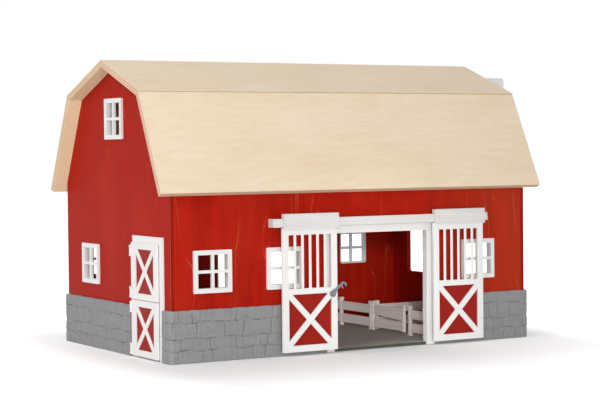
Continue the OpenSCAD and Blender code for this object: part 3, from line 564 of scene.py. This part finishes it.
class BARN_OT_stage(bpy.types.Operator):
    """Makes the camera, the white floor, the soft lights and the world"""

    bl_idname = "barn.stage"
    bl_label = "Stage"

    camera_place = (-1.1116, -1.9209, 0.2452)
    yaw, pitch, roll = 30.224, -1.736, -0.563
    lens = 104.12
    # Where the big lights point, about the barn's middle.
    middle = (0, 0, 0.13)
    # Half of the barn's length and of its width, over its walls.
    half_length, half_width = 0.25, 0.15

    def execute(self, context):
        self.add_camera(context)
        self.add_floor()
        self.add_lights()
        self.add_world(context)
        return {"FINISHED"}

    def add_camera(self, context):
        """The photograph's camera, solved from the barn's corners."""
        yaw, pitch, roll = (math.radians(a) for a in (self.yaw, self.pitch, self.roll))
        ahead = Vector((
            math.sin(yaw) * math.cos(pitch), math.cos(yaw) * math.cos(pitch), math.sin(pitch)))
        right = Vector((math.cos(yaw), -math.sin(yaw), 0))
        up = right.cross(ahead)
        across = math.cos(roll) * right + math.sin(roll) * up
        above = math.cos(roll) * up - math.sin(roll) * right
        turn = Matrix((across, above, -ahead)).transposed().to_4x4()
        bpy.ops.object.camera_add()
        camera = context.object
        camera.name = "camera"
        camera.data.lens = self.lens
        camera.data.sensor_width = 36
        camera.data.sensor_fit = "HORIZONTAL"
        camera.data.clip_end = 50
        camera.matrix_world = Matrix.Translation(self.camera_place) @ turn
        context.scene.camera = camera

    def add_floor(self):
        """A white floor that shows as white, with the barn's shadow kept, and an emission that adds
        a painted shadow at its foot and painted light beside and behind it.
        """
        bpy.ops.mesh.primitive_plane_add(size=14)
        floor = bpy.context.object
        floor.name = "studio_floor"
        surface = bpy.data.materials.new("studio_floor_paper")
        surface.use_nodes = True
        tree = surface.node_tree
        tree.nodes.clear()
        paper = add(tree, "BsdfDiffuse", {"Color": (0.8, 0.8, 0.8, 1)})
        # The paper's emission is lower at the barn's foot as a painted shadow, and higher beside
        # and behind it as painted light.
        spot = add(tree, "SeparateXYZ", (add(tree, "TexCoord").outputs["Object"],))
        clear = []
        for axis, half in (("X", self.half_length), ("Y", self.half_width)):
            size = add(tree, "Math", (spot.outputs[axis],), operation="ABSOLUTE")
            past = add(tree, "Math", (size, half), operation="SUBTRACT")
            clear.append(add(tree, "Math", (past, 0.0), operation="MAXIMUM"))
        beside = add(tree, "Math", (clear[0], 3.0), operation="MULTIPLY")
        away = add(tree, "VectorMath", (
            add(tree, "CombineXYZ", (beside, clear[1])),), operation="LENGTH")
        # Painted shadow: the emission is smallest close to the walls' foot.
        near = add(tree, "MapRange", {
            "Value": away, "From Min": 0.04, "From Max": 0.42, "To Min": 0.12, "To Max": 0.66},
            interpolation_type="SMOOTHSTEP")
        right = add(tree, "MapRange", {
            "Value": spot.outputs["X"], "From Min": 0.05, "From Max": 0.32,
            "To Min": 0.0, "To Max": 0.3})
        behind = add(tree, "MapRange", {
            "Value": spot.outputs["Y"], "From Min": -0.1, "From Max": 0.3,
            "To Min": 0.0, "To Max": 0.32})
        # Painted light: the emission rises to the right of the barn and behind it.
        painted_light_gain = add(tree, "Math", (right, behind), operation="MAXIMUM")
        level = add(tree, "Math", (near, painted_light_gain), operation="ADD")
        lift = add(tree, "Math", (background_rays(tree), level), operation="MULTIPLY")
        backdrop_and_painted_light_glow = add(tree, "Emission", {"Color": (1, 1, 1, 1), "Strength": lift})
        add(tree, "OutputMaterial", {"Surface": add(tree, "AddShader", (paper, backdrop_and_painted_light_glow))})
        floor.data.materials.append(surface)

    def add_lights(self):
        """Three big soft lights, one to the left, a low one in front and one above, and a narrow
        soft beam that reaches in through the doorway."""
        # Each big light's name, place, width and height in metres, and power in watts.
        for name, place, width, height, power in (
            ("key_light", (-2.50, -0.75, 1.35), 1.8, 1.4, 24.5),
            ("front_light", (-1.00, -2.45, 0.32), 1.0, 0.55, 25),
            ("top_light", (-0.95, -0.30, 2.30), 1.3, 1.3, 9.5),
        ):
            bpy.ops.object.light_add(type="AREA", location=place)
            light = bpy.context.object
            light.name = name
            light.data.shape = "RECTANGLE"
            light.data.size = width
            light.data.size_y = height
            light.data.energy = power
            aim(light, self.middle)
        bpy.ops.object.light_add(type="SPOT", location=(-1.15, -2.35, 0.36))
        light = bpy.context.object
        light.name = "doorway_light"
        light.data.energy = 122
        light.data.spot_size = math.radians(4.3)
        light.data.spot_blend = 0.7
        light.data.shadow_soft_size = 0.12
        aim(light, (0.045, -0.15, 0.064))

    def add_world(self, context):
        """White to the camera and in reflections, and a soft even light on the object."""
        world = bpy.data.worlds.new("studio")
        context.scene.world = world
        world.use_nodes = True
        tree = world.node_tree
        tree.nodes.clear()
        level = add(tree, "MapRange", {
            "Value": background_rays(tree), "To Min": 0.44, "To Max": 1.0})
        back = add(tree, "Background", {"Color": (1, 1, 1, 1), "Strength": level})
        add(tree, "OutputWorld", {"Surface": back})
        context.scene.view_settings.view_transform = "Standard"


class BARN_OT_walls(bpy.types.Operator):
    """Models the four stained plywood walls"""

    bl_idname = "barn.walls"
    bl_label = "Walls"

    def execute(self, context):
        edge = context.scene.barn_sizes.board_edge
        # Each panel's node, then its look: the way out through it, how far out its faces lie in mm,
        # its place in the pattern, and its soak and painted sheen.
        for node, *look in (
            ("front_wall", (0, -1, 0), 144, 150, 1, 0, 0.17),
            ("back_wall", (0, 1, 0), 144, 150, 2),
            ("left_gable", (-1, 0, 0), 244, 250, 3, 0.3),
            ("right_gable", (1, 0, 0), 244, 250, 4),
        ):
            finish = material("red_stained_plywood_" + node, stained_plywood, *look)
            model(node, node + "_board", edge, finish)
        return {"FINISHED"}


class BARN_OT_floor(bpy.types.Operator):
    """Models the grey floor board"""

    bl_idname = "barn.floor"
    bl_label = "Floor"

    def execute(self, context):
        finish = material("grey_rolled_paint", painted_board)
        edge = context.scene.barn_sizes.board_edge
        model("floor_panel", "floor_board", edge, finish)
        return {"FINISHED"}


class BARN_OT_roof(bpy.types.Operator):
    """Models the four birch plywood roof panels"""

    bl_idname = "barn.roof"
    bl_label = "Roof"

    thickness = 8
    # Of each front slope, a point on its outer face in mm, and the ways up the slope and out
    # through it, all as y and z. The back ones are their mirror images.
    slopes = {
        "lower": ((-162.85, 194.8), (0.439, 0.8985), (-0.8985, 0.439)),
        "upper": ((0, 352.6), (0.9363, 0.3513), (-0.3513, 0.9363)),
    }
    # The first panel's place in the pattern. Each next one lies one further on.
    first_seed = 5

    def execute(self, context):
        edge = context.scene.barn_sizes.board_edge
        seed = self.first_seed
        for side, turn in (("front", 1), ("back", -1)):
            for part, (corner, up, out) in self.slopes.items():
                node = f"roof_{part}_{side}"
                outer = corner[0] * out[0] + corner[1] * out[1]
                finish = material(
                    "oiled_birch_plywood_" + node, birch_plywood, (0, turn * up[0], up[1]),
                    (0, turn * out[0], out[1]), outer - self.thickness, outer, seed,
                )
                model(node, node + "_board", edge, finish)
                seed += 1
        return {"FINISHED"}


def wander(t, seed, size):
    """A smooth wandering line between about -1 and 1, with waves about size long."""
    rng = np.random.default_rng(seed)
    phase = rng.uniform(0, 2 * math.pi, 4)
    rate = np.array([1.0, 1.73, 2.9, 4.3]) * 2 * math.pi / (size * 1.6)
    weight = np.array([0.42, 0.28, 0.18, 0.12])
    return sum(w * np.sin(r * t + p) for w, r, p in zip(weight, rate, phase))


class BARN_OT_skirt(bpy.types.Operator):
    """Models the stone skirt with its courses of rough stones"""

    bl_idname = "barn.skirt"
    bl_label = "Stone skirt"

    # Height of each course's top edge, in mm.
    courses = (14.5, 28.0, 46.5, 61.0)
    # How far out the walls' faces lie along x and y, and the radius of the skirt's corners, in mm.
    wall = (250.0, 150.0)
    corner_r = 5.0
    # Each piece's run round its corner: start, the sharp corner it goes round, and end, in mm.
    runs = {
        "skirt_front_left": ((-254, -132.2), (-254, -154), (-46.5, -154)),
        "skirt_front_right": ((108.5, -154), (254, -154), (254, 0)),
        "skirt_back_left": ((-254, -46.6), (-254, 154), (-46.5, 154)),
        "skirt_back_right": ((108.5, 154), (254, 154), (254, 0)),
    }
    # Upright joints, course by course from the foot, as mm along the run.
    joints = {
        "skirt_front_left": (
            (30, 62, 75, 127, 143, 182), (34, 71, 105, 147, 188),
            (22, 54, 90, 115, 151, 184), (31, 48, 106, 119, 154, 196)),
    }
    # How far a course's top edge and an upright joint wander, in mm.
    course_wave, joint_wave = 1.8, 0.5
    # Lowest and highest face of a stone over the nominal one, in mm.
    sunk, proud = -0.75, 0.3

    def execute(self, context):
        finish = material("moulded_stone_grey_abs", stone_plastic)
        for number, node in enumerate(self.runs):
            piece = self.add_skirt(context, node, number)
            finish_piece(piece, node, finish)
        return {"FINISHED"}

    def path(self, node, step):
        """Points every step mm along the run at the outer face, with their outward directions."""
        start, corner, end = (np.array(p, float) for p in self.runs[node])
        first, second = corner - start, end - corner
        long_a, long_b = np.linalg.norm(first), np.linalg.norm(second)
        first, second = first / long_a, second / long_b
        r = self.corner_r
        arc = r * math.pi / 2
        total = long_a - r + arc + long_b - r
        s = np.linspace(0, total, int(round(total / step)) + 1)
        turn = np.clip((s - (long_a - r)) / arc, 0, 1) * math.pi / 2
        straight_a = np.minimum(s, long_a - r)
        straight_b = np.maximum(s - (long_a - r) - arc, 0)
        points = (
            start + np.outer(straight_a, first)
            + np.outer(r * np.sin(turn), first) + np.outer(r * (1 - np.cos(turn)), second)
            + np.outer(straight_b, second)
        )
        out_a, out_b = -second, first
        outward = np.outer(np.cos(turn), out_a) + np.outer(np.sin(turn), out_b)
        return s, points, outward, total

    def upright_joints(self, rng, node, course, total):
        """Where one course's upright joints lie, in mm along the run. Past those given, stones 20
        to 40 mm long follow. A run with none given mixes short and long stones."""
        given = self.joints.get(node)
        if given:
            at = list(given[course])
            while at[-1] < total - 40:
                at.append(at[-1] + rng.uniform(20, 40))
        else:
            at, here = [], rng.uniform(8, 26)
            while here < total - 8:
                at.append(here)
                here += rng.choice([rng.uniform(12, 20), rng.uniform(24, 42)])
        return np.array(at)

    def relief(self, sizes, node, number, s, z, total):
        """How far each point stands out from the nominal face in mm, and how deep in a joint it
        lies, from 0 to 1."""
        rng = np.random.default_rng(40 + number)
        half = sizes.joint_width / MM / 2
        line = np.array([0.0, *self.courses[:-1]])
        deep = np.zeros_like(s)
        rise = np.zeros_like(s)
        edges = [np.full_like(s, -5.0)]
        edges += [
            top + self.course_wave * wander(s, 70 + number * 9 + k, 30)
            for k, top in enumerate(self.courses[:-1])]
        edges += [np.full_like(s, self.courses[-1] + 5.0)]
        for k in range(len(line)):
            inside = (z >= edges[k]) & (z < edges[k + 1])
            at = self.upright_joints(rng, node, k, total)
            lean = rng.uniform(-0.2, 0.2, len(at))
            middle = (self.courses[k] + line[k]) / 2
            gap_up = np.minimum(np.abs(z - edges[k]), np.abs(z - edges[k + 1]))
            sideways = (
                s[..., None] - at - lean * (z[..., None] - middle)
                - self.joint_wave * wander(z[..., None], 5 + k, 9))
            gap_side = np.abs(sideways).min(-1)

            # Each stone stands out and leans by its own amount.
            stone = (sideways > 0).sum(-1)
            lift = rng.uniform(-1, 1, len(at) + 1)[stone]
            tilt_s = rng.uniform(-0.02, 0.02, len(at) + 1)[stone]
            tilt_z = rng.uniform(-0.03, 0.03, len(at) + 1)[stone]
            left = np.concatenate(([0.0], at))[stone]
            face = (
                lift * sizes.stone_rise / MM * 0.5
                + tilt_s * (s - left - 12) + tilt_z * (z - middle))

            # The joints round it are deep in places and almost gone in others.
            fade_level = 0.62 + 0.38 * wander(s, 90 + k + number, 24)
            fade_upright = 0.7 + 0.3 * wander(z + 3 * stone, 33 + k, 16)
            near = np.maximum(
                (1 - np.clip(gap_up / half, 0, 1)) * fade_level,
                (1 - np.clip(gap_side / half, 0, 1)) * fade_upright,
            )
            near = np.clip(near, 0, 1)
            near = near * near * (3 - 2 * near)
            deep = np.where(inside, near, deep)
            rise = np.where(inside, face, rise)
        rough = 0.5 + 0.5 * wander(s, 7 + number, 45)
        chisel = 0.62 * rough * wander(s + 2.1 * wander(z, 8 + number, 15), 60 + number, 5)
        chisel += 0.18 * wander(z + 1.5 * wander(s, 9 + number, 22), 61 + number, 6)
        rise = np.clip(rise + chisel, self.sunk, self.proud)
        return rise * (1 - deep) - deep * sizes.joint_depth / MM, deep

    def add_skirt(self, context, node, number):
        """One band: a grid bent round its corner, pressed into stones and backed by the wall."""
        sizes = context.scene.barn_sizes
        step = sizes.stone_step / MM
        s, points, outward, total = self.path(node, step)
        height = self.courses[-1]
        rows = int(round(height / step)) + 1
        bpy.ops.mesh.primitive_grid_add(x_subdivisions=len(s) - 1, y_subdivisions=rows - 1, size=2)
        piece = bpy.context.object
        piece.name = piece.data.name = node + "_stones"
        co = corners(piece)
        column = np.rint((co[:, 0] + 1) / 2 * (len(s) - 1)).astype(int)
        row = (co[:, 1] + 1) / 2
        z = row * height
        stand, deep = self.relief(sizes, node, number, s[column], z, total)

        # The top and foot edges are set back a little, and the top edge is uneven.
        at_top, at_foot = z > height - 0.01, z < 0.01
        stand = np.where(at_top | at_foot, stand - 0.6, stand)
        z = np.where(at_top, z - 0.45 - 0.35 * wander(s[column], 12 + number, 20), z)
        flat = points[column] + outward[column] * stand[:, None]
        set_corners(piece, np.column_stack((flat, z)) * MM)
        joint = piece.data.attributes.new("joint", "FLOAT", "POINT")
        joint.data.foreach_set("value", deep.astype(np.float32))

        # The new layer of the extruded grid is pressed flat on the wall.
        pick(piece)
        bpy.ops.object.mode_set(mode="EDIT")
        bpy.ops.mesh.select_all(action="SELECT")
        bpy.ops.mesh.extrude_region_move()
        bpy.ops.object.mode_set(mode="OBJECT")
        chosen = np.empty(len(piece.data.vertices), bool)
        piece.data.vertices.foreach_get("select", chosen)
        co = corners(piece)
        limit = np.array(self.wall) * MM
        co[chosen, :2] = np.clip(co[chosen, :2], -limit, limit)
        set_corners(piece, co)
        bpy.ops.object.mode_set(mode="EDIT")
        bpy.ops.mesh.dissolve_limited(angle_limit=math.radians(0.4))
        bpy.ops.mesh.select_all(action="SELECT")
        bpy.ops.mesh.normals_make_consistent(inside=False)
        bpy.ops.object.mode_set(mode="OBJECT")
        bpy.ops.object.shade_smooth_by_angle(angle=math.radians(50))
        return piece


class BARN_OT_windows(bpy.types.Operator):
    """Models the moulded window frames"""

    bl_idname = "barn.windows"
    bl_label = "Windows"

    def execute(self, context):
        edge = context.scene.barn_sizes.moulded_edge
        for node in sorted(frame["nodes"]):
            if node.startswith("window_"):
                model(node, node + "_frame", edge * 0.7, white_plastic())
        return {"FINISHED"}


class BARN_OT_doorways(bpy.types.Operator):
    """Models the casings of the two doorways"""

    bl_idname = "barn.doorways"
    bl_label = "Doorways"

    def execute(self, context):
        edge = context.scene.barn_sizes.moulded_edge
        for node in ("doorway_frame_front", "doorway_frame_back"):
            model(node, node + "_casing", edge, white_plastic())
        return {"FINISHED"}


class BARN_OT_rail(bpy.types.Operator):
    """Models the slide rail and its brackets"""

    bl_idname = "barn.rail"
    bl_label = "Slide rail"

    def execute(self, context):
        edge = context.scene.barn_sizes.moulded_edge
        for node in ("slide_rail", "rail_brackets"):
            model(node, node + "_moulding", edge * 0.7, rail_plastic())
        return {"FINISHED"}


class BARN_OT_sliding_doors(bpy.types.Operator):
    """Models the two sliding doors, their red panels and their hangers"""

    bl_idname = "barn.sliding_doors"
    bl_label = "Sliding doors"

    def execute(self, context):
        edge = context.scene.barn_sizes.moulded_edge
        for side in ("left", "right"):
            for part, width, slot, finish in (
                ("frame", edge, "white_plastic", white_plastic()),
                ("hanger", edge, "white_plastic", rail_plastic()),
                ("panel", edge * 0.4, "red_plastic", red_plastic()),
            ):
                node = f"{side}_door_{part}"
                model(node, node + "_moulding", width, finish)
        return {"FINISHED"}


class BARN_OT_latch(bpy.types.Operator):
    """Models the latch hook, its pin and the peg it catches"""

    bl_idname = "barn.latch"
    bl_label = "Latch"

    def execute(self, context):
        edge = context.scene.barn_sizes.moulded_edge
        for node, width, slot, finish in (
            ("latch_hook", edge * 0.8, "grey_plastic", grey_plastic()),
            ("latch_pivot_pin", edge * 0.5, "grey_plastic", grey_plastic()),
            ("catch_peg", edge * 0.5, "white_plastic", white_plastic()),
        ):
            model(node, node + "_moulding", width, finish)
        return {"FINISHED"}


class BARN_OT_stable_door(bpy.types.Operator):
    """Models the stable door's frame, leaves and red panels"""

    bl_idname = "barn.stable_door"
    bl_label = "Stable door"

    def execute(self, context):
        edge = context.scene.barn_sizes.moulded_edge
        for node in ("stable_door_frame", "upper_leaf", "lower_leaf"):
            model(node, node + "_moulding", edge * 0.8, white_plastic())
        for node in ("upper_leaf_panel", "lower_leaf_panel"):
            model(node, node + "_moulding", edge * 0.4, red_plastic())
        return {"FINISHED"}


class BARN_OT_hoist(bpy.types.Operator):
    """Models the hoist arm and its pulley"""

    bl_idname = "barn.hoist"
    bl_label = "Hoist"

    def execute(self, context):
        edge = context.scene.barn_sizes.moulded_edge
        model("hoist_arm", "hoist_arm_moulding", edge, white_plastic())
        model("hoist_pulley", "hoist_pulley_moulding", edge * 0.5, grey_plastic())
        return {"FINISHED"}


class BARN_OT_stall(bpy.types.Operator):
    """Models the stall fence and its gate"""

    bl_idname = "barn.stall"
    bl_label = "Stall"

    def execute(self, context):
        edge = context.scene.barn_sizes.moulded_edge
        for node in ("stall_fence_rear", "stall_fence_front", "stall_fence_cross", "stall_gate"):
            model(node, node + "_moulding", edge * 0.6, lined_plastic())
        return {"FINISHED"}


class BARN_OT_fittings(bpy.types.Operator):
    """Finishes the hidden battens, dowels and pins"""

    bl_idname = "barn.fittings"
    bl_label = "Battens, dowels and pins"

    def execute(self, context):
        for node in ("ridge_batten", "knee_batten_front", "knee_batten_back"):
            coat(node, material("planed_pine_batten", sawn_pine, "X"))
        coat("wall_dowels", material("planed_pine_dowel", sawn_pine, "X"))
        for node in ("stable_hinge_pins", "hoist_axle", "gate_pin"):
            coat(node, material("drawn_steel_wire", drawn_steel))
        return {"FINISHED"}


class BARN_PT_panel(bpy.types.Panel):
    """Lists the barn's operators and settings"""

    bl_label = "Toy barn"
    bl_space_type = "VIEW_3D"
    bl_region_type = "UI"
    bl_category = "Toy barn"

    def draw(self, context):
        for operator in OPERATORS:
            self.layout.operator(operator.bl_idname)
        for settings in (context.scene.barn_colours, context.scene.barn_sizes):
            box = self.layout.box()
            for name in settings.bl_rna.properties.keys():
                if name not in ("rna_type", "name"):
                    box.prop(settings, name)


OPERATORS = (
    BARN_OT_stage,
    BARN_OT_walls,
    BARN_OT_floor,
    BARN_OT_roof,
    BARN_OT_skirt,
    BARN_OT_windows,
    BARN_OT_doorways,
    BARN_OT_rail,
    BARN_OT_sliding_doors,
    BARN_OT_latch,
    BARN_OT_stable_door,
    BARN_OT_hoist,
    BARN_OT_stall,
    BARN_OT_fittings,
)
CLASSES = (BarnColours, BarnSizes, *OPERATORS, BARN_PT_panel)


def register():
    """Registers the classes and hangs their settings on the scene."""
    for item in CLASSES:
        bpy.utils.register_class(item)
    bpy.types.Scene.barn_colours = bpy.props.PointerProperty(type=BarnColours)
    bpy.types.Scene.barn_sizes = bpy.props.PointerProperty(type=BarnSizes)


def unregister():
    """Removes the settings and the classes."""
    del bpy.types.Scene.barn_sizes
    del bpy.types.Scene.barn_colours
    for item in reversed(CLASSES):
        bpy.utils.unregister_class(item)


def main():
    register()
    for operator in OPERATORS:
        group, name = operator.bl_idname.split(".")
        getattr(getattr(bpy.ops, group), name)()


if __name__ == "__main__":
    main()
